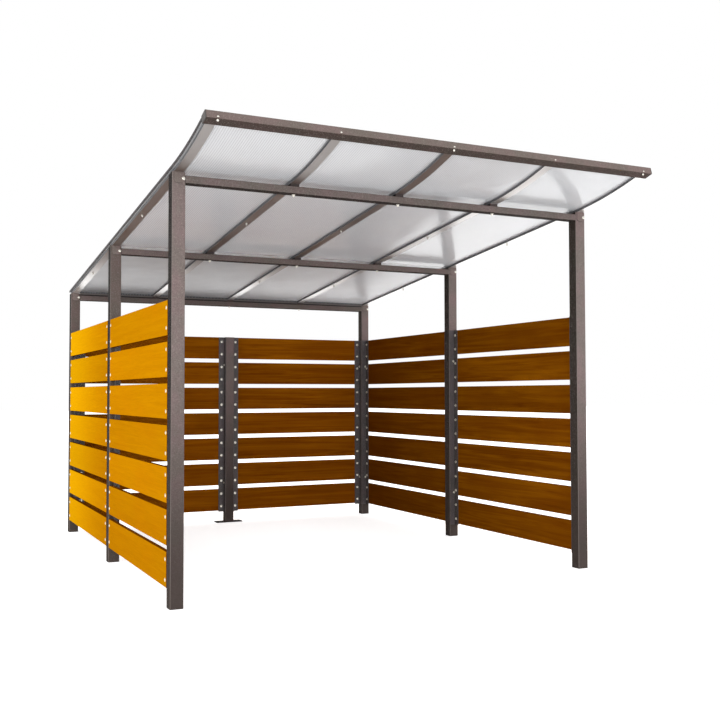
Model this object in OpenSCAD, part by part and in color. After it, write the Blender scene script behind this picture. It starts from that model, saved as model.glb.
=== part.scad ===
// Open-fronted bin shelter: seven square tube posts, slatted sides and back,
// and a light sheet roof that sweeps up towards the front edge.
// The front faces -Y and the ground is at z = 0.

/* [Overall size] */
// Width over the outer faces of the side posts
shelter_w = 2600; // [1900:10:3400]
// Distance from one row of posts to the next
bay_pitch = 1507; // [1100:1:1900]
// Height of the front posts at their front face
front_h = 2190; // [1950:5:2700]

/* [Posts] */
// Outer size of the square posts
post_s = 70; // [60:5:90]
// Wall thickness of the post tube
post_t = 3; // [2:0.5:5]
// Outer corner radius of the post tube
post_r = 5; // [3:1:8]
// Width of the foot plate under the back centre post
plate_w = 220; // [180:5:300]
// Depth of the foot plate
plate_d = 80; // [80:1:140]
// Thickness of the foot plate
plate_t = 8; // [5:1:12]
// Diameter of the two anchor holes in the foot plate
anchor_d = 14; // [10:1:18]
// Distance between the two anchor holes
anchor_span = 170; // [140:5:240]

/* [Beams] */
// Height of the cross beams and of the front edge tube
beam_h = 40; // [30:5:60]
// Depth of the cross beams, front to back
beam_d = 60; // [40:5:60]
// Wall thickness of the beams
beam_t = 3; // [2:0.5:4]
// Outer corner radius of the beams
beam_r = 4; // [3:1:6]

/* [Roof] */
// Slope of the straight part of the roof, in degrees
roof_pitch = 6.2; // [3:0.1:10]
// Radius of the upswept part, measured at the underside of the rafters
sweep_r = 2900; // [2400:50:4200]
// Length of roof in front of the front posts, without the edge tube
overhang = 530; // [350:10:700]
// Width of the rafters
rafter_w = 50; // [40:2:60]
// Thickness of the rafters
rafter_h = 14; // [12:1:30]
// Wall thickness of the rafters
rafter_t = 2; // [1.5:0.5:4]
// Clear gap between a beam and the rafters over it
saddle_h = 15; // [10:1:25]
// Thickness of the roof sheets
sheet_t = 10; // [6:1:16]
// Thickness of the strips that clamp the sheets
strip_t = 4; // [2:0.5:6]
// Gap between two neighbouring sheets, under the strip
sheet_gap = 10; // [6:1:16]
// How far the roof edge stands out past the posts at each side
side_lip = 4; // [2:1:20]
// How far the edge tube hangs below the rafters
edge_drop = 6; // [0:1:10]

// Height of the bracket plates on the post heads
bracket_h = 56; // [40:2:80]
// Thickness of the bracket plates
bracket_t = 3; // [2:0.5:5]
// Depth of the strips that close the space over the back beam
eaves_d = 20; // [10:1:40]

/* [Slatted panels] */
// Height of one board
board_h = 180; // [140:2:200]
// Thickness of the boards
board_t = 27; // [18:1:30]
// Gap between two boards
board_gap = 32; // [15:1:45]
// Radius on the long edges of the boards
board_r = 3; // [1:0.5:6]
// Number of boards in a panel
boards = 7; // [5:1:7]
// Height of the lowest board above the ground
board_low = 95; // [60:5:140]
// Space between a board end and the post beside it
board_end = 6; // [3:1:12]
// Leg of the steel angles that lies on the boards
angle_w = 50; // [30:2:60]
// Leg of the steel angles that is bolted to a post
angle_p = 40; // [25:1:42]
// Thickness of the steel angles
angle_t = 4; // [3:0.5:6]
// How far the angles run past the boards at the bottom
angle_tail = 8; // [0:2:60]

/* [Hidden] */
$fn = 64;
post_row_y = [0, bay_pitch, 2 * bay_pitch];
back_y = 2 * bay_pitch + post_s;
rafter_x = shelter_w / 2 - post_s / 2;
rafter_step = 2 * rafter_x / 4;
inner_w = shelter_w - 2 * post_s;
roof_back_y = back_y - 14;
tip_angle = asin(sin(roof_pitch) + overhang / sweep_r);
sweep_angle = tip_angle - roof_pitch;
straight_l = roof_back_y / cos(roof_pitch);
roof_stack = rafter_h + sheet_t + strip_t;
tip_y = -overhang - (beam_d - beam_r) * cos(tip_angle) - (edge_drop - beam_r) * sin(tip_angle) - beam_r;
rear_y = max(back_y, back_y - post_s / 2 + plate_d / 2);
mid_y = (tip_y + rear_y) / 2;
board_pitch = board_h + board_gap;
panel_h = boards * board_h + (boards - 1) * board_gap;
panel_top = board_low + panel_h;
steel = [0.45, 0.41, 0.38];
dark_steel = [0.16, 0.15, 0.15];
timber = [0.72, 0.48, 0.12];
clear_sheet = [0.85, 0.87, 0.88];

// Everything is drawn from the front face of the front posts and then centred
module placed() {
  translate([0, -mid_y, 0])
    children();
}

// Height of the rafters' underside over a point behind the front posts
function underside(y) = front_h - y * tan(roof_pitch);

module rounded_rect(w, h, r) {
  translate([r, 0])
    square([w - 2 * r, h]);
  translate([0, r])
    square([w, h - 2 * r]);
  for (x = [r, w - r], y = [r, h - r])
    translate([x, y])
      circle(r);
}

// Rectangular tube section with its corner on the origin
module tube_section(w, h, t, r) {
  difference() {
    rounded_rect(w, h, r);
    translate([t, t])
      rounded_rect(w - 2 * t, h - 2 * t, max(1, r - t));
  }
}

// Square tube from the ground up to the sloping line of the rafters
module side_post(x, y) {
  placed()
    difference() {
      translate([x, y, 0])
        linear_extrude(front_h + 20)
          tube_section(post_s, post_s, post_t, post_r);
      above_slope(0);
    }
}

module left_post(row) {
  side_post(-shelter_w / 2, post_row_y[row]);
}

module right_post(row) {
  side_post(shelter_w / 2 - post_s, post_row_y[row]);
}

module centre_post() {
  placed()
    translate([-post_s / 2, back_y - post_s, plate_t])
      linear_extrude(panel_top - plate_t)
        tube_section(post_s, post_s, post_t, post_r);
}

module foot_plate() {
  placed()
    translate([0, back_y - post_s / 2, 0])
      difference() {
        translate([-plate_w / 2, -plate_d / 2, 0])
          cube([plate_w, plate_d, plate_t]);
        for (side = [-1, 1])
          translate([side * anchor_span / 2, 0, -1])
            cylinder(d = anchor_d, h = plate_t + 2);
      }
}

// Cross tube between a left and a right post
module cross_beam(row) {
  y = post_row_y[row];
  top = underside(y) - saddle_h;
  placed()
    translate([-inner_w / 2, y, top - beam_h])
      rotate([90, 0, 90])
        linear_extrude(inner_w)
          tube_section(beam_d, beam_h, beam_t, beam_r);
}

// Sloping frame of the roof: its origin is on the underside of the rafters
// over the front face of the front posts, and +Y runs down the slope
module on_slope() {
  translate([0, 0, front_h])
    rotate([-roof_pitch, 0, 0])
      children();
}

// Frame at the front end of the rafters, turned with the upsweep
module at_tip() {
  on_slope()
    translate([0, -sweep_r * sin(sweep_angle), sweep_r * (1 - cos(sweep_angle))])
      rotate([-sweep_angle, 0, 0])
        children();
}

// Carries a section along the slope and the upsweep: the section has x across
// the shelter and y up from the underside of the rafters
module along_roof() {
  on_slope() {
    translate([0, straight_l, 0])
      rotate([90, 0, 0])
        linear_extrude(straight_l)
          children();
    mirror([0, 1, 0])
      translate([0, 0, sweep_r])
        rotate([0, 90, 0])
          rotate_extrude(angle = sweep_angle, $fn = 360)
            translate([sweep_r, 0])
              rotate(90)
                children();
  }
}

// Everything that lies above the sloping line, low millimetres over the
// underside of the rafters
module above_slope(low) {
  on_slope()
    translate([-shelter_w, -100, low])
      cube([2 * shelter_w, back_y + 300, front_h]);
}

// Rafters, numbered from the left
module rafter(i) {
  x = -rafter_x + i * rafter_step;
  placed()
    along_roof()
      translate([x - rafter_w / 2, 0])
        difference() {
          square([rafter_w, rafter_h]);
          translate([rafter_t, rafter_t])
            square([rafter_w - 2 * rafter_t, rafter_h - 2 * rafter_t]);
        }
}

// Roof sheet between rafter i and the next one
module roof_sheet(i) {
  x = -rafter_x + i * rafter_step;
  x0 = i == 0 ? -shelter_w / 2 : x + sheet_gap / 2;
  x1 = i == 3 ? shelter_w / 2 : x + rafter_step - sheet_gap / 2;
  placed()
    along_roof()
      translate([x0, rafter_h])
        square([x1 - x0, sheet_t]);
}

// Flat strip over a rafter that clamps two sheets
module clamp_strip(i) {
  x = -rafter_x + i * rafter_step;
  placed()
    along_roof()
      translate([x - rafter_w / 2, rafter_h + sheet_t])
        square([rafter_w, strip_t]);
}

// Strip along a side edge of the roof, with a lip over the edge of the sheet
module edge_strip(side) {
  x0 = rafter_x - rafter_w / 2;
  x1 = shelter_w / 2;
  placed()
    mirror([side < 0 ? 1 : 0, 0, 0])
      along_roof()
        union() {
          translate([x0, rafter_h + sheet_t])
            square([x1 + side_lip - x0, strip_t]);
          translate([x1, rafter_h])
            square([side_lip, sheet_t + strip_t]);
        }
}

// Rectangular tube across the front ends of the rafters
module edge_tube() {
  placed()
    at_tip()
      translate([-shelter_w / 2, -beam_d, -edge_drop])
        rotate([90, 0, 90])
          linear_extrude(shelter_w)
            tube_section(beam_d, beam_h, beam_t, beam_r);
}

module tube_caps() {
  placed()
    at_tip()
      for (x = [-shelter_w / 2 - side_lip, shelter_w / 2])
        translate([x, -beam_d, -edge_drop])
          rotate([90, 0, 90])
            linear_extrude(side_lip)
              rounded_rect(beam_d, beam_h, beam_r);
}

// Plate that hangs from a rafter over the front face of a side post
module post_bracket(x, y) {
  translate([x, y, underside(y) - bracket_h])
    rotate([90, 0, 0])
      linear_extrude(bracket_t)
        union() {
          translate([-rafter_w / 2, rafter_w / 4])
            square([rafter_w, bracket_h - rafter_w / 4]);
          translate([-rafter_w / 4, 0])
            square([rafter_w / 2, bracket_h]);
          for (s = [-1, 1])
            translate([s * rafter_w / 4, rafter_w / 4])
              circle(rafter_w / 4);
        }
}

// Packing block between a beam and an inner rafter
module saddle(x, y) {
  difference() {
    translate([x - rafter_w / 2, y + 5, underside(y) - saddle_h])
      cube([rafter_w, beam_d - 10, saddle_h + 20]);
    above_slope(0);
  }
}

// Brackets of one row: plates on the two posts, blocks on the beam between
module rafter_brackets(row) {
  y = post_row_y[row];
  placed() {
    for (x = [-rafter_x, rafter_x])
      post_bracket(x, y);
    for (i = [1, 2, 3])
      saddle(-rafter_x + i * rafter_step, y);
  }
}

// Strips on the back beam that close the space under the sheets
module eaves_strips() {
  y = post_row_y[2];
  base = underside(y) - saddle_h;
  placed()
    difference() {
      for (i = [0, 1, 2, 3]) {
        x = -rafter_x + i * rafter_step;
        x0 = i == 0 ? -inner_w / 2 : x + rafter_w / 2;
        x1 = i == 3 ? inner_w / 2 : x + rafter_step - rafter_w / 2;
        translate([x0, y, base])
          cube([x1 - x0, eaves_d, 100]);
      }
      above_slope(rafter_h);
    }
}

// Boards of one panel, lying along +Y from the origin
module board_stack(length) {
  for (i = [0 : boards - 1])
    translate([0, 0, board_low + i * board_pitch])
      translate([0, length, 0])
        rotate([90, 0, 0])
          linear_extrude(length)
            rounded_rect(board_t, board_h, board_r);
}

// Slatted panel in a side bay: side -1 is the left wall, 1 the right wall
module side_panel(side, bay) {
  y0 = post_row_y[bay] + post_s + board_end;
  y1 = post_row_y[bay + 1] - board_end;
  placed()
    mirror([side > 0 ? 1 : 0, 0, 0])
      translate([-shelter_w / 2, y0, 0])
        board_stack(y1 - y0);
}

// Slatted panel in the back wall: side -1 is the left half, 1 the right half
module back_panel(side) {
  length = inner_w / 2 - post_s / 2 - 2 * board_end;
  placed()
    mirror([side > 0 ? 1 : 0, 0, 0])
      translate([-post_s / 2 - board_end, back_y - board_t, 0])
        rotate([0, 0, 90])
          board_stack(length);
}

// Steel angle standing on the inner face of the boards: the leg on the post
// runs along +X from the origin and the leg on the boards along +Y
module angle_bar() {
  translate([0, 0, board_low - angle_tail])
    linear_extrude(panel_h + angle_tail)
      union() {
        square([angle_p, angle_t]);
        square([angle_t, angle_w]);
      }
}

module side_angles(side, bay) {
  y0 = post_row_y[bay] + post_s;
  y1 = post_row_y[bay + 1];
  placed()
    mirror([side > 0 ? 1 : 0, 0, 0])
      translate([-shelter_w / 2 + board_t, 0, 0]) {
        translate([0, y0, 0])
          angle_bar();
        translate([0, y1, 0])
          mirror([0, 1, 0])
            angle_bar();
      }
}

module back_angles(side) {
  placed()
    mirror([side > 0 ? 1 : 0, 0, 0])
      translate([0, back_y - board_t, 0]) {
        translate([-inner_w / 2, 0, 0])
          rotate([0, 0, -90])
            angle_bar();
        translate([-post_s / 2, 0, 0])
          mirror([1, 0, 0])
            rotate([0, 0, -90])
              angle_bar();
      }
}

module post_front_left() {
  color(steel)
    left_post(0);
}

module post_front_right() {
  color(steel)
    right_post(0);
}

module post_mid_left() {
  color(steel)
    left_post(1);
}

module post_mid_right() {
  color(steel)
    right_post(1);
}

module post_back_left() {
  color(steel)
    left_post(2);
}

module post_back_right() {
  color(steel)
    right_post(2);
}

module post_back_centre() {
  color(steel)
    centre_post();
}

module foot_plate_back() {
  color(steel)
    foot_plate();
}

module beam_front() {
  color(steel)
    cross_beam(0);
}

module beam_mid() {
  color(steel)
    cross_beam(1);
}

module beam_back() {
  color(steel)
    cross_beam(2);
}

module front_edge_tube() {
  color(steel)
    edge_tube();
}

module edge_tube_caps() {
  color(dark_steel)
    tube_caps();
}

module rafter_left() {
  color(steel)
    rafter(0);
}

module rafter_inner_left() {
  color(steel)
    rafter(1);
}

module rafter_centre() {
  color(steel)
    rafter(2);
}

module rafter_inner_right() {
  color(steel)
    rafter(3);
}

module rafter_right() {
  color(steel)
    rafter(4);
}

module roof_sheet_left() {
  color(clear_sheet)
    roof_sheet(0);
}

module roof_sheet_inner_left() {
  color(clear_sheet)
    roof_sheet(1);
}

module roof_sheet_inner_right() {
  color(clear_sheet)
    roof_sheet(2);
}

module roof_sheet_right() {
  color(clear_sheet)
    roof_sheet(3);
}

module clamp_strip_left() {
  color(dark_steel)
    edge_strip(-1);
}

module clamp_strip_inner_left() {
  color(dark_steel)
    clamp_strip(1);
}

module clamp_strip_centre() {
  color(dark_steel)
    clamp_strip(2);
}

module clamp_strip_inner_right() {
  color(dark_steel)
    clamp_strip(3);
}

module clamp_strip_right() {
  color(dark_steel)
    edge_strip(1);
}

module eaves_strips_back() {
  color(steel)
    eaves_strips();
}

module rafter_brackets_front() {
  color(dark_steel)
    rafter_brackets(0);
}

module rafter_brackets_mid() {
  color(dark_steel)
    rafter_brackets(1);
}

module rafter_brackets_back() {
  color(dark_steel)
    rafter_brackets(2);
}

module panel_left_front() {
  color(timber)
    side_panel(-1, 0);
}

module panel_left_back() {
  color(timber)
    side_panel(-1, 1);
}

module panel_right_front() {
  color(timber)
    side_panel(1, 0);
}

module panel_right_back() {
  color(timber)
    side_panel(1, 1);
}

module panel_back_left() {
  color(timber)
    back_panel(-1);
}

module panel_back_right() {
  color(timber)
    back_panel(1);
}

module angles_left_front() {
  color(steel)
    side_angles(-1, 0);
}

module angles_left_back() {
  color(steel)
    side_angles(-1, 1);
}

module angles_right_front() {
  color(steel)
    side_angles(1, 0);
}

module angles_right_back() {
  color(steel)
    side_angles(1, 1);
}

module angles_back_left() {
  color(steel)
    back_angles(-1);
}

module angles_back_right() {
  color(steel)
    back_angles(1);
}

post_front_left();
post_front_right();
post_mid_left();
post_mid_right();
post_back_left();
post_back_right();
post_back_centre();
foot_plate_back();
beam_front();
beam_mid();
beam_back();
front_edge_tube();
edge_tube_caps();
rafter_left();
rafter_inner_left();
rafter_centre();
rafter_inner_right();
rafter_right();
roof_sheet_left();
roof_sheet_inner_left();
roof_sheet_inner_right();
roof_sheet_right();
clamp_strip_left();
clamp_strip_inner_left();
clamp_strip_centre();
clamp_strip_inner_right();
clamp_strip_right();
eaves_strips_back();
rafter_brackets_front();
rafter_brackets_mid();
rafter_brackets_back();
panel_left_front();
panel_left_back();
panel_right_front();
panel_right_back();
panel_back_left();
panel_back_right();
angles_left_front();
angles_left_back();
angles_right_front();
angles_right_back();
angles_back_left();
angles_back_right();
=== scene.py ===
"""Looks of the bin shelter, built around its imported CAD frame. Metres, +Z up, open front towards -Y."""

import math

import bpy
from mathutils import Matrix, Vector


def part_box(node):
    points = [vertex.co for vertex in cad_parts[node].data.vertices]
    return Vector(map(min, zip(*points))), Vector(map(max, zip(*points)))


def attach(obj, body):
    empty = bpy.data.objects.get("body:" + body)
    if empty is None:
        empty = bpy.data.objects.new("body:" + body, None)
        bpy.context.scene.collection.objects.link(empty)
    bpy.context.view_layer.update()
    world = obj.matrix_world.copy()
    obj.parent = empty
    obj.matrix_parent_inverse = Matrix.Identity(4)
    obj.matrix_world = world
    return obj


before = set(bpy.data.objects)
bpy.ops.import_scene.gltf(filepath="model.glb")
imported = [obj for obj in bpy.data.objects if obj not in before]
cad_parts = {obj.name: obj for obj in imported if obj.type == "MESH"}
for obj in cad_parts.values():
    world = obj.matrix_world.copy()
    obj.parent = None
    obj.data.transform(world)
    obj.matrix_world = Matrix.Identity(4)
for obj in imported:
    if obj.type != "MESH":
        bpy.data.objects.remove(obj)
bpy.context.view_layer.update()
scene = bpy.context.scene
scene.view_settings.view_transform = "Standard"

# ---------------------------------------------------------------- sizes that the frame doesn't give
ROWS = ("front", "mid", "back")
BAYS = (("front", "mid"), ("mid", "back"))
BOARDS = 7
BOARD_HEIGHT = 0.180
ANGLE_THICKNESS = 0.004
ROOF_PITCH = math.radians(6.2)
SADDLE_RISE = 0.015
FLUTE_PITCH = 0.0125

# Bolts and nuts, by their distance from the edges and faces that they sit on.
BOARD_BOLT_INSET = 0.025
BOARD_BOLT_SPREAD = 0.052
ANGLE_BOLT_HEIGHTS = (0.328, 1.314)
ANGLE_BOLT_INSET = 0.004
HEAD_BOLT_ACROSS = 0.058
HEAD_BOLT_DROP = 0.032
BEAM_NUT_FORWARD = 0.004
SCREW_DISTANCES = (0.788, 2.296)
TUBE_LEAN = math.radians(16.9)
TUBE_FACE = 0.0301
PAIR = (-0.0085, 0.0065)
SINGLE = (0.0065,)
TUBE_BOLTS = ((-1.245, PAIR), (-0.632, SINGLE), (0.0, PAIR), (0.632, SINGLE), (1.245, PAIR))

# Light and camera.
FLOOR_SIZE = 120
FLOOR_GLOW = 0.7
AMBIENT = 0.95
LAMP_SPREAD = 35
CAMERA_LENS = 48.11
CAMERA_PLACE = (-2.5501, -5.9799, 1.0664)
CAMERA_HEADING = math.radians(-25.922)
CAMERA_TIP = math.radians(90 + 2.035)
CAMERA_ROLL = math.radians(-0.105)


# ---------------------------------------------------------------- measures from the frame
def box_of(node):
    low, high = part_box(node)
    return Vector(low), Vector(high)


def middle_x(node):
    low, high = box_of(node)
    return (low.x + high.x) / 2


post_low, post_high = box_of("post_front_right")
outer_x = post_high.x
inner_x = post_low.x
post_side = outer_x - inner_x
row_y = {row: box_of("post_" + row + "_right")[0].y for row in ROWS}
head_z = {row: box_of("post_" + row + "_right")[1].z for row in ROWS}
panel_low, panel_high = box_of("panel_right_front")
board_t = panel_high.x - panel_low.x
board_low = panel_low.z
board_step = (panel_high.z - panel_low.z - BOARD_HEIGHT) / (BOARDS - 1)
beam_box = {row: box_of("beam_" + row) for row in ROWS}
back_outer_y = box_of("panel_back_right")[1].y
edge_rafter_x = middle_x("rafter_right")
inner_right_x = middle_x("rafter_inner_right")
inner_rafter_x = (-inner_right_x, 0.0, inner_right_x)


# ---------------------------------------------------------------- node helper
class Net:
    """A material's node tree, with short calls for the nodes that these finishes use."""

    def __init__(self, name):
        self.mat = bpy.data.materials.new(name)
        self.mat.use_nodes = True
        self.tree = self.mat.node_tree
        self.tree.nodes.clear()
        self.out = self.add("ShaderNodeOutputMaterial")
        self.bsdf = self.add("ShaderNodeBsdfPrincipled")
        self.tree.links.new(self.bsdf.outputs[0], self.out.inputs["Surface"])
        self.place = self.add("ShaderNodeTexCoord").outputs["Object"]
        self.normal = self.add("ShaderNodeNewGeometry").outputs["Normal"]

    def add(self, kind, **settings):
        node = self.tree.nodes.new(kind)
        for key, value in settings.items():
            setattr(node, key, value)
        return node

    def feed(self, socket, value):
        """Links a socket to another, or sets its plain value."""
        if isinstance(value, bpy.types.NodeSocket):
            self.tree.links.new(value, socket)
        else:
            socket.default_value = value

    def math(self, operation, a, b=0.0, clamp=False):
        node = self.add("ShaderNodeMath", operation=operation, use_clamp=clamp)
        self.feed(node.inputs[0], a)
        self.feed(node.inputs[1], b)
        return node.outputs[0]

    def ramp(self, value, low, high, to_low=0.0, to_high=1.0):
        """A smooth step from one value to another."""
        node = self.add("ShaderNodeMapRange", interpolation_type="SMOOTHSTEP")
        for socket, given in zip(node.inputs, (value, low, high, to_low, to_high)):
            self.feed(socket, given)
        return node.outputs[0]

    def mix(self, factor, a, b, blend="MIX"):
        node = self.add("ShaderNodeMix", data_type="RGBA", blend_type=blend)
        self.feed(node.inputs[0], factor)
        self.feed(node.inputs[6], a)
        self.feed(node.inputs[7], b)
        return node.outputs[2]

    def parts(self, vector):
        node = self.add("ShaderNodeSeparateXYZ")
        self.feed(node.inputs[0], vector)
        return node.outputs

    def vector(self, x, y, z):
        node = self.add("ShaderNodeCombineXYZ")
        for socket, given in zip(node.inputs, (x, y, z)):
            self.feed(socket, given)
        return node.outputs[0]

    def stretched(self, scale, offset=None):
        """The place on the object, scaled by axis and shifted."""
        node = self.add("ShaderNodeMapping")
        self.feed(node.inputs["Vector"], self.place)
        node.inputs["Scale"].default_value = scale
        if offset is not None:
            self.feed(node.inputs["Location"], offset)
        return node.outputs[0]

    def noise(self, scale=1.0, detail=3.0, rough=0.5, vector=None, distortion=0.0):
        node = self.add("ShaderNodeTexNoise")
        self.feed(node.inputs["Vector"], self.place if vector is None else vector)
        node.inputs["Scale"].default_value = scale
        node.inputs["Detail"].default_value = detail
        node.inputs["Roughness"].default_value = rough
        node.inputs["Distortion"].default_value = distortion
        return node.outputs["Fac"]

    def from_flute(self):
        """How far across its flute a point lies: 0 in the middle, 0.5 at the webs."""
        across = self.parts(self.place)[0]
        turn = self.math("FRACT", self.math("DIVIDE", across, FLUTE_PITCH))
        return self.math("ABSOLUTE", self.math("SUBTRACT", turn, 0.5))

    def bump(self, height, distance, strength=1.0, under=None):
        node = self.add("ShaderNodeBump")
        node.inputs["Strength"].default_value = strength
        node.inputs["Distance"].default_value = distance
        self.feed(node.inputs["Height"], height)
        if under is not None:
            self.feed(node.inputs["Normal"], under)
        return node.outputs[0]

    def finish(self, colour, roughness, normal=None, **plain):
        self.feed(self.bsdf.inputs["Base Color"], colour)
        self.feed(self.bsdf.inputs["Roughness"], roughness)
        if normal is not None:
            self.feed(self.bsdf.inputs["Normal"], normal)
        for key, value in plain.items():
            self.bsdf.inputs[key.replace("_", " ")].default_value = value
        return self.mat


def linear(level):
    """A screen value from 0 to 255 as the linear one that nodes take."""
    share = level / 255
    if share <= 0.04045:
        return share / 12.92
    return ((share + 0.055) / 1.055) ** 2.4


def rgb(red, green, blue):
    return (linear(red), linear(green), linear(blue), 1.0)


# ---------------------------------------------------------------- finishes
def steel_paint(name, lit_face_colour, shaded_face_colour, low_darkening=0.0, level=0.45, shine=0.3, shade_between_posts=False):
    """Bronze powder coat, with painted shade by face: the lit colour on the faces that look to the front
    or back, and the darker shaded colour, dull, on the others.

    A low share darkens it towards the ground. A flag paints shade between the posts of a row,
    and a painted highlight lightens the rounded edges between front and side faces.
    """
    net = Net(name)
    x, _, z = net.parts(net.place)
    nx, ny, _ = net.parts(net.normal)
    # painted shade: faces that don't look to the front or back take the darker shaded colour
    lit_faces = net.ramp(net.math("ABSOLUTE", ny), 0.7, 0.95)
    colour = net.mix(lit_faces, rgb(*shaded_face_colour), rgb(*lit_face_colour))

    patches = net.noise(7.0, 4.0, 0.6)
    tint = net.mix(net.ramp(patches, 0.35, 0.68), rgb(236, 240, 236), rgb(255, 244, 248))
    colour = net.mix(1.0, colour, tint, "MULTIPLY")
    specks = net.noise(190.0, 2.0, 0.7)
    colour = net.mix(net.ramp(specks, 0.52, 0.74, 0.0, 0.4), colour, rgb(176, 164, 160))
    colour = net.mix(net.ramp(specks, 0.28, 0.48, 0.35, 0.0), colour, rgb(70, 60, 56))

    # darker towards the ground
    low_dark_share = net.math("MULTIPLY", net.ramp(z, 0.1, 1.35, 1.0, 0.0), low_darkening)
    colour = net.mix(low_dark_share, colour, rgb(62, 54, 50))
    # painted highlight: a lighter line along the rounded edges between side and front faces
    corner_highlight = net.math("MULTIPLY", net.math("ABSOLUTE", nx), net.math("ABSOLUTE", ny))
    colour = net.mix(net.ramp(corner_highlight, 0.38, 0.5, 0.0, 0.5), colour, rgb(168, 158, 152))
    # painted shade: darker between the posts of a row, standing in for the shade in the gap under the
    # rafters
    if shade_between_posts:
        inside = net.ramp(net.math("ABSOLUTE", x), inner_x - 0.1, inner_x, 0.7, 0.0)
        colour = net.mix(inside, colour, rgb(40, 38, 40))

    peel = net.bump(net.noise(900.0, 2.0, 0.5), 0.00012)
    rough = net.ramp(net.noise(30.0, 3.0, 0.6), 0.3, 0.7, level - 0.06, level + 0.08)
    rough = net.math("ADD", rough, net.ramp(lit_faces, 0.0, 1.0, 0.35, 0.0), clamp=True)
    return net.finish(colour, rough, peel, Specular_IOR_Level=shine)


def rafter_painted_reflection(net):
    """Where the rafters carry a painted reflection, bright as metal: the back bay, the right side, a
    little on the left sweep.
    """
    x, y, _ = net.parts(net.place)
    rear = net.ramp(y, row_y["mid"] + 0.1, row_y["mid"] + 1.1)
    sweep = net.ramp(y, row_y["front"] - 0.2, row_y["front"], 1.0, 0.0)
    sweep = net.math("MULTIPLY", sweep, net.ramp(x, -0.5, -0.1, 0.35, 0.0))
    return net.math("MAXIMUM", net.ramp(x, 0.2, 0.6), net.math("MAXIMUM", rear, sweep))


def rafter_paint(name):
    """Brown coat above and below, with a painted reflection in places, bright as metal. Grey and dull on
    the flanks.
    """
    net = Net(name)
    level = net.ramp(net.math("ABSOLUTE", net.parts(net.normal)[2]), 0.5, 0.85)
    broad = net.noise(6.0, 3.0, 0.5)
    mottle = net.ramp(broad, 0.3, 0.7)
    lines = net.noise(1.0, 2.0, 0.5, net.stretched((260.0, 1.5, 8.0)))

    brown = net.mix(mottle, rgb(98, 84, 77), rgb(108, 94, 87))
    brown = net.mix(net.ramp(lines, 0.3, 0.7, 0.15, 0.0), brown, rgb(70, 60, 55))
    # painted reflection: the pale metal colour and metallic share stand in for the glossy coat's
    # reflection seen at a grazing angle
    metal = net.mix(mottle, rgb(226, 224, 222), rgb(236, 235, 234))
    flank = net.mix(mottle, rgb(88, 89, 92), rgb(100, 99, 101))
    reflection_share = rafter_painted_reflection(net)
    colour = net.mix(level, flank, net.mix(reflection_share, brown, metal))

    rough = net.ramp(broad, 0.3, 0.7, 0.29, 0.34)
    rough = net.math("ADD", rough, net.ramp(level, 0.0, 1.0, 0.3, 0.0))
    reflective_share = net.math("MULTIPLY", net.math("MULTIPLY", level, reflection_share), 0.8)
    net.feed(net.bsdf.inputs["Metallic"], reflective_share)
    return net.finish(colour, rough, net.bump(broad, 0.0002, 0.2), Specular_IOR_Level=0.75)


def board_dice(net, bay):
    """A value and a colour that differ from board to board, by its row, bay and side."""
    x, _, z = net.parts(net.place)
    row = net.math("DIVIDE", net.math("SUBTRACT", z, board_low - 0.01), board_step)
    row = net.math("FLOOR", row)
    dice = net.add("ShaderNodeTexWhiteNoise", noise_dimensions="3D")
    net.feed(dice.inputs["Vector"], net.vector(row, bay, net.math("SIGN", x)))
    return dice.outputs["Value"], dice.outputs["Color"]


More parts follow.
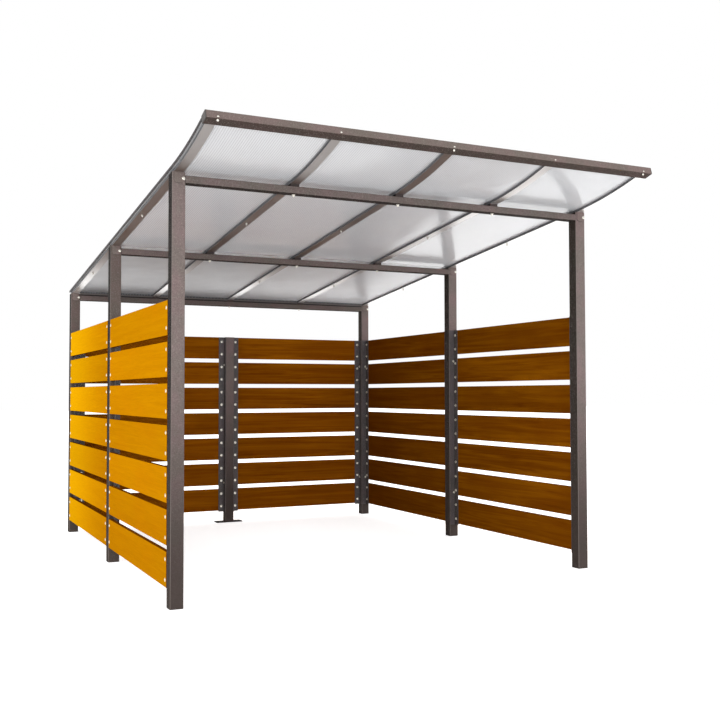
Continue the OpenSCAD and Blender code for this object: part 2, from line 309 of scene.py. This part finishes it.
def timber(name, along):
    """Boards of oiled larch: ochre on the outer face, a dark brown painted shade on the inner face, grain
    along the board.
    """
    net = Net(name)
    x, y, z = net.parts(net.place)
    nx, ny, _ = net.parts(net.normal)
    side_wall = along == "y"
    if side_wall:
        outward = net.math("MULTIPLY", nx, net.math("SIGN", x))
        bay = net.math("GREATER_THAN", y, row_y["mid"])
        figure_scale = (26.0, 1.1, 30.0)
        fibre_scale = (300.0, 7.0, 420.0)
    else:
        outward = ny
        bay = net.math("GREATER_THAN", x, 0.0)
        figure_scale = (1.1, 26.0, 30.0)
        fibre_scale = (7.0, 300.0, 420.0)

    own, scatter = board_dice(net, bay)
    shift = net.add("ShaderNodeVectorMath", operation="SCALE")
    net.feed(shift.inputs[0], scatter)
    shift.inputs["Scale"].default_value = 40.0
    moved = shift.outputs[0]
    figure = net.noise(1.0, 6.0, 0.62, net.stretched(figure_scale, moved), 0.9)
    fibre = net.noise(1.0, 3.0, 0.6, net.stretched(fibre_scale, moved))
    broad = net.noise(1.6, 2.0, 0.5, net.stretched((1.0, 1.0, 2.0), moved))

    outer = net.mix(net.ramp(figure, 0.3, 0.72), rgb(200, 131, 2), rgb(209, 141, 3))
    outer = net.mix(net.ramp(broad, 0.4, 0.75, 0.0, 0.5), outer, rgb(208, 131, 4))
    # painted shade: the inner face's dark brown stands in for the shade inside the walls, under the roof
    inner = net.mix(net.ramp(figure, 0.32, 0.7), rgb(112, 58, 2), rgb(146, 86, 6))
    inner = net.mix(net.ramp(broad, 0.35, 0.7, 0.0, 0.55), inner, rgb(112, 58, 3))
    streak = net.ramp(figure, 0.24, 0.4, 1.0, 0.0)
    inner = net.mix(net.math("MULTIPLY", streak, 0.6), inner, rgb(74, 34, 2))
    # painted light and shade: the side walls' outer face gets lighter and the inner face darker towards
    # the back
    if side_wall:
        rear = net.ramp(y, row_y["mid"], row_y["back"])
        outer = net.mix(net.math("MULTIPLY", rear, 0.9), outer, rgb(238, 174, 4))
        inner = net.mix(net.math("MULTIPLY", rear, 0.6), inner, rgb(88, 42, 2))
    else:
        # the back wall's inner face, which looks to the open front, gets a lighter painted shade
        inner = net.mix(1.0, inner, net.vector(1.45, 1.4, 1.6), "MULTIPLY")

    colour = net.mix(net.ramp(outward, 0.35, 0.8), inner, outer)
    colour = net.mix(net.ramp(fibre, 0.35, 0.65, 0.10, 0.0), colour, rgb(58, 28, 4))
    shade = net.ramp(own, 0.0, 1.0, 0.90, 1.06)
    colour = net.mix(1.0, colour, net.vector(shade, shade, shade), "MULTIPLY")
    # darker towards the bottom
    darker_low = net.ramp(z, board_low, board_low + 1.3, 0.10, 0.0)
    colour = net.mix(darker_low, colour, rgb(120, 70, 10))
    rough = net.ramp(figure, 0.3, 0.7, 0.86, 0.74)
    relief = net.bump(fibre, 0.0004, 0.6, net.bump(figure, 0.0008, 0.5))
    return net.finish(colour, rough, relief, Specular_IOR_Level=0.0)


def fluted_sheet(name):
    """Twin-wall sheet: pale, glossy below and matt above, with a fine line at every inner web.

    A painted grey patch of shade and dark reflection covers the left part of the back bay, and the whole
    back bay is a little rougher.
    """
    net = Net(name)
    x, y, _ = net.parts(net.place)
    web = net.ramp(net.from_flute(), 0.30, 0.48)
    haze = net.noise(2.2, 3.0, 0.5)
    body = net.mix(net.ramp(haze, 0.3, 0.7), rgb(247, 248, 251), rgb(251, 252, 254))
    web_tone = net.math("MULTIPLY", web, net.ramp(x, -0.2, 0.9, 0.55, 0.25))
    colour = net.mix(web_tone, body, rgb(176, 177, 178))
    # painted shade and dark reflection on the left part of the back bay
    behind = net.ramp(y, row_y["mid"], row_y["mid"] + 0.3)
    painted_shade_patch = net.math("MULTIPLY", behind, net.ramp(x, -0.6, 1.0, 0.75, 0.0))
    colour = net.mix(painted_shade_patch, colour, rgb(176, 177, 180))

    top = net.ramp(net.parts(net.normal)[2], 0.2, 0.8, 0.0, 0.4)
    rough = net.ramp(net.noise(9.0, 3.0, 0.5), 0.3, 0.7, 0.1, 0.16)
    rear = net.ramp(y, row_y["mid"] + 0.03, row_y["mid"] + 0.08, 0.0, 0.2)
    rough = net.math("ADD", net.math("ADD", rough, rear), top, clamp=True)
    relief = net.bump(web, 0.0004, 0.35)
    return net.finish(colour, rough, relief, Specular_IOR_Level=0.9, Transmission_Weight=0.49)


def eaves_trim(name):
    """Closing strip at the low eaves: a comb of slots above with painted shade in the open flute ends, a
    lighter lip, and a band of painted shadow below for the gap under the sheet.
    """
    net = Net(name)
    z = net.parts(net.place)[2]
    low, high = box_of("eaves_strips_back")
    level = net.math("DIVIDE", net.math("SUBTRACT", z, low.z), high.z - low.z)
    tooth = net.from_flute()
    # painted shade: the dark slots stand in for the shade in the open flute ends
    comb = net.mix(net.ramp(tooth, 0.2, 0.32), rgb(40, 40, 42), rgb(140, 142, 146))
    lip = net.mix(net.noise(30.0, 3.0, 0.5), rgb(104, 98, 97), rgb(122, 116, 114))
    colour = net.mix(net.ramp(level, 0.62, 0.68), lip, comb)
    # painted shadow: a dark band along the bottom stands in for the shadow in the gap above the beam
    colour = net.mix(net.ramp(level, 0.22, 0.28), rgb(42, 38, 38), colour)
    rough = net.ramp(net.noise(60.0, 2.0, 0.5), 0.3, 0.7, 0.4, 0.55)
    return net.finish(colour, rough, net.bump(tooth, 0.0008, 0.5), Specular_IOR_Level=0.2)


def zinc(name, tone=(214, 210, 200), rough=0.28):
    """Plated bolts and nuts with a slight mottle."""
    net = Net(name)
    mottle = net.noise(240.0, 3.0, 0.6)
    colour = net.mix(net.ramp(mottle, 0.3, 0.7), rgb(*tone), rgb(236, 232, 222))
    level = net.ramp(net.noise(500.0, 2.0, 0.5), 0.3, 0.7, rough - 0.06, rough + 0.08)
    return net.finish(colour, level, net.bump(mottle, 0.0001), Metallic=0.85)


def dark_plastic(name):
    """Moulded plastic with a fine grain."""
    net = Net(name)
    grain = net.noise(700.0, 2.0, 0.6)
    broad = net.noise(40.0, 3.0, 0.5)
    colour = net.mix(net.ramp(broad, 0.3, 0.7), rgb(58, 52, 49), rgb(72, 66, 63))
    return net.finish(colour, net.ramp(grain, 0.3, 0.7, 0.42, 0.56), net.bump(grain, 0.0002))


# Each steel paint's second colour is painted shade, on the faces that don't look to the front or back: the
# posts' sides and the undersides of beams, tube and brackets. NEAR_BLACK is the deepest painted shade, for
# the left posts' side faces.
BRONZE = (134, 121, 118)
SHADED_BRONZE = (109, 98, 93)
NEAR_BLACK = (24, 20, 18)
POST_PAINT = steel_paint("post_paint", BRONZE, (54, 49, 44), low_darkening=0.85, level=0.4, shine=0.07)
LEFT_POST_PAINT = steel_paint("left_post_paint", BRONZE, NEAR_BLACK, low_darkening=0.85, level=0.4, shine=0.07)
# painted shade: the rear left posts are darker on their front faces too
SHADED_POST_PAINT = steel_paint(
    "shaded_post_paint", SHADED_BRONZE, NEAR_BLACK, low_darkening=0.6, level=0.4, shine=0.07
)
BEAM_PAINT = steel_paint("beam_paint", (124, 113, 109), (42, 35, 32), shine=0.07)
TUBE_PAINT = steel_paint("tube_paint", (124, 111, 106), (82, 71, 66), shine=0.1)
# the brackets carry painted shade between the posts, for the gap under the rafters
BRACKET_PAINT = steel_paint(
    "bracket_paint", (134, 121, 117), (50, 42, 40), level=0.5, shine=0.1, shade_between_posts=True
)
FOOT_PAINT = steel_paint("foot_paint", (70, 64, 62), (50, 44, 42), level=0.5, shine=0.1)
ANGLE_PAINT = steel_paint("angle_paint", (98, 94, 96), (72, 68, 68), low_darkening=0.3)
TRIM_PAINT = steel_paint("trim_paint", (70, 66, 66), (62, 60, 62), level=0.35)
RAFTER_PAINT = rafter_paint("rafter_paint")
SIDE_TIMBER = timber("side_timber", "y")
BACK_TIMBER = timber("back_timber", "x")
SHEET = fluted_sheet("roof_sheet_finish")
EAVES_TRIM = eaves_trim("eaves_trim")
ZINC = zinc("bolt_zinc")
HEAD_ZINC = zinc("head_zinc", (208, 188, 120), 0.35)
DULL_ZINC = zinc("screw_zinc", (112, 108, 104), 0.4)
CAP_PLASTIC = dark_plastic("cap_plastic")

# The first start that fits a node's name gives its finish.
FINISHES = (
    ("post_mid_left", SHADED_POST_PAINT),
    ("post_back_left", SHADED_POST_PAINT),
    ("post_front_left", LEFT_POST_PAINT),
    ("post_", POST_PAINT),
    ("beam_", BEAM_PAINT),
    ("front_edge_tube", TUBE_PAINT),
    ("eaves_strips", EAVES_TRIM),
    ("rafter_brackets", BRACKET_PAINT),
    ("rafter_", RAFTER_PAINT),
    ("foot_plate", FOOT_PAINT),
    ("angles_", ANGLE_PAINT),
    ("clamp_strip", TRIM_PAINT),
    ("panel_back", BACK_TIMBER),
    ("panel_", SIDE_TIMBER),
    ("roof_sheet", SHEET),
    ("", CAP_PLASTIC),
)


def dress(node, material):
    """Gives every material slot of a CAD node the finish."""
    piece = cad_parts[node]
    if not piece.material_slots:
        piece.data.materials.append(material)
    for place in piece.material_slots:
        place.material = material


def dress_frame():
    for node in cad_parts:
        for start, material in FINISHES:
            if node.startswith(start):
                dress(node, material)
                break


# ---------------------------------------------------------------- shapes of the fixings
def turned(profile, around=14):
    """Vertices and faces of (radius, height) pairs turned about +Z. A radius of 0 closes an end."""
    verts, faces, rings = [], [], []
    for radius, height in profile:
        if radius == 0:
            rings.append([len(verts)] * around)
            verts.append((0.0, 0.0, height))
            continue
        rings.append(list(range(len(verts), len(verts) + around)))
        for k in range(around):
            turn = 2 * math.pi * k / around
            verts.append((radius * math.cos(turn), radius * math.sin(turn), height))
    for low, high in zip(rings, rings[1:]):
        for k in range(around):
            n = (k + 1) % around
            ring = [low[k], low[n], high[n], high[k]]
            faces.append([v for i, v in enumerate(ring) if v not in ring[:i]])
    return verts, faces


def joined(shapes):
    """One list of vertices and one of faces from several shapes."""
    verts, faces = [], []
    for shape_verts, shape_faces in shapes:
        base = len(verts)
        verts += shape_verts
        faces += [[base + i for i in face] for face in shape_faces]
    return verts, faces


def dome_head(radius, height):
    """A round-headed bolt: a low dome on a thin rim."""
    rim = 0.12
    steps = [(0, 0.0), (radius, 0.0), (radius, rim * height)]
    for k in range(1, 4):
        rise = math.radians(22.5 * k)
        steps.append((radius * math.cos(rise), height * (rim + (1 - rim) * math.sin(rise))))
    steps.append((0, height))
    return turned(steps, 16)


def washer_nut(radius, height):
    """A washer, a hexagon nut with its chamfer, and the rounded end of the bolt."""
    nut = 0.82 * radius
    end = 0.45 * radius
    washer_steps = ((0, 0.0), (radius, 0.0), (radius, 0.15), (0, 0.15))
    nut_steps = ((0, 0.1), (nut, 0.1), (nut, 0.62), (0.86 * nut, 0.7), (0, 0.7))
    end_steps = ((0, 0.6), (end, 0.6), (end, 0.92), (0.7 * end, 1.0), (0, 1.0))
    shapes = []
    for steps, around in ((washer_steps, 16), (nut_steps, 6), (end_steps, 10)):
        shapes.append(turned([(wide, share * height) for wide, share in steps], around))
    return joined(shapes)


def spread(name, shape, places, material):
    """One joined mesh of a shape set at each (point, direction that its +Z takes)."""
    copies = []
    for point, direction in places:
        turn = Vector(direction).to_track_quat("Z", "Y").to_matrix()
        moved = [tuple(turn @ Vector(v) + Vector(point)) for v in shape[0]]
        copies.append((moved, shape[1]))
    verts, faces = joined(copies)
    mesh = bpy.data.meshes.new(name)
    mesh.from_pydata(verts, [], faces)
    mesh.update()
    piece = bpy.data.objects.new(name, mesh)
    scene.collection.objects.link(piece)
    mesh.materials.append(material)
    for face in mesh.polygons:
        face.use_smooth = True
    mesh.set_sharp_from_angle(angle=math.radians(50))
    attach(piece, "root")
    return piece


# ---------------------------------------------------------------- places of the fixings
def board_bolt_heights():
    """Two bolts at each board's end."""
    for i in range(BOARDS):
        middle = board_low + i * board_step + BOARD_HEIGHT / 2
        yield middle - BOARD_BOLT_SPREAD
        yield middle + BOARD_BOLT_SPREAD


def side_bolt_ys():
    for first, second in BAYS:
        yield row_y[first] + post_side + BOARD_BOLT_INSET
        yield row_y[second] - BOARD_BOLT_INSET


def back_bolt_xs():
    for x in (post_side / 2 + BOARD_BOLT_INSET, inner_x - BOARD_BOLT_INSET):
        yield x
        yield -x


def panel_bolts():
    """Heads on the boards' outer faces, and nuts on the angles inside."""
    outside, inside = [], []
    inner_face_x = outer_x - board_t - ANGLE_THICKNESS
    inner_face_y = back_outer_y - board_t - ANGLE_THICKNESS
    for z in board_bolt_heights():
        for y in side_bolt_ys():
            for s in (-1, 1):
                outside.append(((s * outer_x, y, z), (s, 0, 0)))
                inside.append(((s * inner_face_x, y, z), (-s, 0, 0)))
        for x in back_bolt_xs():
            outside.append(((x, back_outer_y, z), (0, 1, 0)))
            inside.append(((x, inner_face_y, z), (0, -1, 0)))
    spread("board_bolt_heads", dome_head(0.0098, 0.0036), outside, HEAD_ZINC)
    spread("board_bolt_nuts", washer_nut(0.0105, 0.0095), inside, ZINC)


def post_head_bolts():
    """One bolt near the top of each post's front face."""
    places = []
    for row in ROWS:
        for left in (-outer_x, inner_x):
            point = (left + HEAD_BOLT_ACROSS, row_y[row], head_z[row] - HEAD_BOLT_DROP)
            places.append((point, (0, -1, 0)))
    spread("post_head_bolts", dome_head(0.0105, 0.0045), places, ZINC)


def angle_bolts():
    """The two bolts that hold each angle to its post."""
    places = []
    side_x = outer_x - board_t - ANGLE_THICKNESS - ANGLE_BOLT_INSET
    back_y = back_outer_y - board_t - ANGLE_THICKNESS - ANGLE_BOLT_INSET
    for z in ANGLE_BOLT_HEIGHTS:
        for s in (-1, 1):
            for first, second in BAYS:
                behind = row_y[first] + post_side + ANGLE_THICKNESS
                places.append(((s * side_x, behind, z), (0, 1, 0)))
                places.append(((s * side_x, row_y[second] - ANGLE_THICKNESS, z), (0, -1, 0)))
            places.append(((s * (inner_x - ANGLE_THICKNESS), back_y, z), (-s, 0, 0)))
            places.append(((s * (post_side / 2 + ANGLE_THICKNESS), back_y, z), (s, 0, 0)))
    spread("angle_bolts", washer_nut(0.0095, 0.008), places, ZINC)


def beam_nuts():
    """A nut and bolt end under each beam where a rafter is bolted through it."""
    places = []
    for row in ROWS:
        low, high = beam_box[row]
        for x in inner_rafter_x:
            places.append(((x, (low.y + high.y) / 2 - BEAM_NUT_FORWARD, low.z), (0, 0, -1)))
    spread("beam_nuts", washer_nut(0.0095, 0.013), places, ZINC)


def slope_point(x, distance):
    """A point on the rafters' underside, that far behind the front posts' front faces."""
    top = beam_box["front"][1].z + SADDLE_RISE
    return (x, row_y["front"] + distance, top - distance * math.tan(ROOF_PITCH))


def mid_bay_screws():
    """Screw ends that hang under the rafters half-way along each bay."""
    places = []
    for x in inner_rafter_x + (-edge_rafter_x, edge_rafter_x):
        for distance in SCREW_DISTANCES:
            places.append((slope_point(x, distance), (0, 0, -1)))
    spread("sheet_screw_ends", washer_nut(0.007, 0.014), places, DULL_ZINC)


def tube_bolts():
    """Bolts in the front face of the edge tube: pairs at the ends and the middle, singles between."""
    low, high = box_of("front_edge_tube")
    out = Vector((0, -math.cos(TUBE_LEAN), -math.sin(TUBE_LEAN)))
    up = Vector((0, -math.sin(TUBE_LEAN), math.cos(TUBE_LEAN)))
    face = (low + high) / 2 + out * TUBE_FACE
    places = []
    for x, offsets in TUBE_BOLTS:
        for offset in offsets:
            places.append((Vector((x, face.y, face.z)) + up * offset, out))
    spread("edge_tube_bolts", dome_head(0.006, 0.0020), places, ZINC)


# ---------------------------------------------------------------- stage, light and camera
def seen_or_mirrored(tree):
    """1 for rays from the camera, a mirror or a clear body, and 0 for the rays that light."""
    path = tree.nodes.new("ShaderNodeLightPath")
    total = path.outputs["Is Camera Ray"]
    for kind in ("Is Glossy Ray", "Is Transmission Ray"):
        either = tree.nodes.new("ShaderNodeMath")
        either.operation = "MAXIMUM"
        tree.links.new(total, either.inputs[0])
        tree.links.new(path.outputs[kind], either.inputs[1])
        total = either.outputs[0]
    return total


def stage_floor():
    """A pale floor that the camera and mirrors see as white, apart from the object's shadow."""
    bpy.ops.mesh.primitive_plane_add(size=FLOOR_SIZE, location=(0, 0, -0.001))
    floor = bpy.context.object
    floor.name = "studio_floor"
    mat = bpy.data.materials.new("studio_floor")
    mat.use_nodes = True
    tree = mat.node_tree
    tree.nodes.clear()
    strength = tree.nodes.new("ShaderNodeMath")
    strength.operation = "MULTIPLY"
    strength.inputs[1].default_value = FLOOR_GLOW
    tree.links.new(seen_or_mirrored(tree), strength.inputs[0])
    dull = tree.nodes.new("ShaderNodeBsdfDiffuse")
    dull.inputs["Color"].default_value = (0.95, 0.95, 0.95, 1)
    glow = tree.nodes.new("ShaderNodeEmission")
    glow.inputs["Color"].default_value = (1, 1, 1, 1)
    tree.links.new(strength.outputs[0], glow.inputs["Strength"])
    both = tree.nodes.new("ShaderNodeAddShader")
    tree.links.new(dull.outputs[0], both.inputs[0])
    tree.links.new(glow.outputs[0], both.inputs[1])
    out = tree.nodes.new("ShaderNodeOutputMaterial")
    tree.links.new(both.outputs[0], out.inputs["Surface"])
    floor.data.materials.append(mat)


def studio_world():
    """White where the camera or a mirror looks, a little softer as a light."""
    world = bpy.data.worlds.new("studio")
    scene.world = world
    world.use_nodes = True
    tree = world.node_tree
    tree.nodes.clear()
    level = tree.nodes.new("ShaderNodeMapRange")
    tree.links.new(seen_or_mirrored(tree), level.inputs["Value"])
    level.inputs["To Min"].default_value = AMBIENT
    level.inputs["To Max"].default_value = 1.0
    back = tree.nodes.new("ShaderNodeBackground")
    back.inputs["Color"].default_value = (1, 1, 1, 1)
    tree.links.new(level.outputs[0], back.inputs["Strength"])
    out = tree.nodes.new("ShaderNodeOutputWorld")
    tree.links.new(back.outputs[0], out.inputs["Surface"])


def soft_sun(name, towards, strength):
    """A broad, soft lamp that shines along a direction."""
    data = bpy.data.lights.new(name, "SUN")
    data.energy = strength
    data.angle = math.radians(LAMP_SPREAD)
    lamp = bpy.data.objects.new(name, data)
    lamp.rotation_euler = Vector(towards).to_track_quat("-Z", "Y").to_euler()
    scene.collection.objects.link(lamp)


def studio_camera():
    data = bpy.data.cameras.new("camera")
    data.sensor_width = 36.0
    data.lens = CAMERA_LENS
    data.clip_start = 0.1
    data.clip_end = 200.0
    camera = bpy.data.objects.new("camera", data)
    heading = Matrix.Rotation(CAMERA_HEADING, 4, "Z")
    tip = Matrix.Rotation(CAMERA_TIP, 4, "X")
    roll = Matrix.Rotation(CAMERA_ROLL, 4, "Z")
    camera.matrix_world = Matrix.Translation(CAMERA_PLACE) @ heading @ tip @ roll
    scene.collection.objects.link(camera)
    scene.camera = camera


dress_frame()
panel_bolts()
post_head_bolts()
beam_nuts()
mid_bay_screws()
angle_bolts()
tube_bolts()
stage_floor()
studio_world()
soft_sun("front_lamp", (0.3, 0.93, -0.22), 0.48)
soft_sun("left_lamp", (0.9, 0.3, -0.25), 0.74)
studio_camera()
